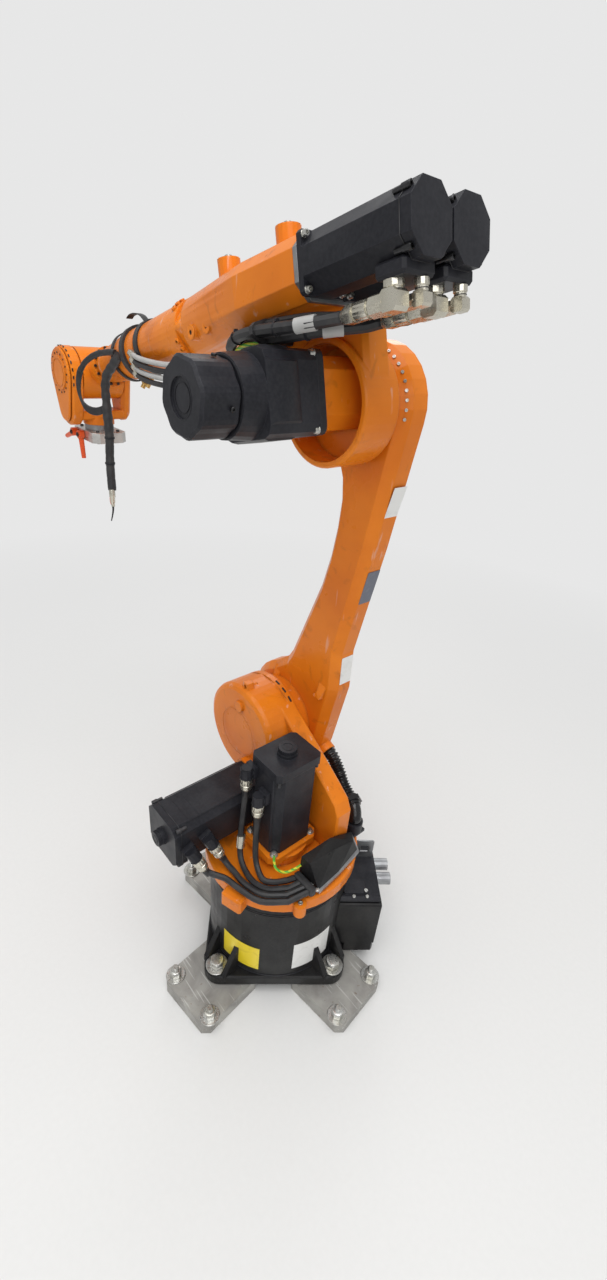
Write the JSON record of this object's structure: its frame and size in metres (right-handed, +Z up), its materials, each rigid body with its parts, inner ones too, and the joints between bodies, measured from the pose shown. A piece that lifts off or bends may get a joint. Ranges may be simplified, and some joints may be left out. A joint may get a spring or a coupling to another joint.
{
  "type": "six-axis industrial robot arm",
  "caption": "Jointed robot arm in orange on a round black base, with motors, an in-line wrist and a tool plate.",
  "frame": {"origin": "centre of the base frame's underside, on the vertical first axis", "axes": "+Z up along the first axis, +X the way the arm reaches, +Y the arm's left"},
  "size_m": [0.9692, 0.4722, 1.2249],
  "materials": {
    "orange_paint": "glossy enamel on cast metal",
    "black_paint": "semi-gloss black enamel",
    "motor_black": "satin black coated aluminium",
    "grey_metal": "machined, dull",
    "floor_steel": "flame-cut plate, dull grey",
    "bright_metal": "nickel-plated and bare aluminium",
    "dark_rubber": "matt cable sheath",
    "earth_green": "green and yellow sheath",
    "lever_orange": "powder coated"
  },
  "bodies": {
    "base": {"base_frame": "black_paint", "bedplate_1": "floor_steel", "bedplate_2": "floor_steel", "bedplate_3": "floor_steel", "bedplate_4": "floor_steel", "connector_panel": "grey_metal", "junction_box": "black_paint", "junction_lid": "motor_black", "socket_plate": "grey_metal"},
    "column": {"a1_motor": "motor_black", "a1_motor_cap": "motor_black", "a1_power_plug": "motor_black", "a1_signal_plug": "motor_black", "a2_motor": "motor_black", "a2_motor_cap": "motor_black", "a2_power_plug": "motor_black", "a2_signal_plug": "motor_black", "cable_cover": "black_paint", "cover_band": "grey_metal", "earth_lead": "earth_green", "hose_clamp": "motor_black", "link_hose": "dark_rubber", "lower_leads": "dark_rubber", "rotating_column": "orange_paint"},
    "link_arm": {"link_arm": "orange_paint"},
    "forearm": {"a3_motor": "motor_black", "a3_motor_cap": "motor_black", "forearm_casting": "orange_paint", "forearm_leads": "dark_rubber", "rear_adaptor_plate": "grey_metal", "wrist_motor_left": "motor_black", "wrist_motor_left_cap": "motor_black", "wrist_motor_right": "motor_black", "wrist_motor_right_cap": "motor_black", "wrist_power_plug_left": "bright_metal", "wrist_power_plug_right": "bright_metal", "wrist_signal_plug_left": "bright_metal", "wrist_signal_plug_right": "bright_metal"},
    "wrist_roll": {"dress_loop": "dark_rubber", "dress_sleeve": "dark_rubber", "dress_strap": "dark_rubber", "wrist_roll_housing": "orange_paint"},
    "wrist_bend": {"wrist_belt_cover": "orange_paint", "wrist_swing_frame": "orange_paint"},
    "tool_flange": {"tool_flange": "grey_metal", "tool_lever_front": "lever_orange", "tool_lever_rear": "lever_orange", "tool_plate": "bright_metal"}
  },
  "joints": [
    {"name": "a1_turn", "type": "hinge", "parent": "base", "child": "column", "pos_m": [0, 0, 0], "axis": [0, 0, 1], "range_deg": [-155, 155]},
    {"name": "a2_lean", "type": "hinge", "parent": "column", "child": "link_arm", "pos_m": [0.145, 0, 0.403], "axis": [0, 1, 0], "range_deg": [-79.5, 165.5], "deforming": ["link_hose"]},
    {"name": "a3_lift", "type": "hinge", "parent": "link_arm", "child": "forearm", "pos_m": [0.03566, 0, 0.99295], "axis": [0, -1, 0], "range_deg": [-43.3, 129.7]},
    {"name": "a4_roll", "type": "hinge", "parent": "forearm", "child": "wrist_roll", "pos_m": [0.06608, 0, 1.11316], "axis": [0.9694, 0, -0.2453], "range_deg": [-350, 350]},
    {"name": "a5_bend", "type": "hinge", "parent": "wrist_roll", "child": "wrist_bend", "pos_m": [0.65647, 0, 0.96377], "axis": [0, 1, 0], "range_deg": [-205.8, 54.2], "deforming": ["dress_sleeve", "dress_loop"]},
    {"name": "a6_spin", "type": "hinge", "parent": "wrist_bend", "child": "tool_flange", "pos_m": [0.65647, 0, 0.86077], "axis": [0, 0, -1], "range_deg": [-350, 350]}
  ]
}
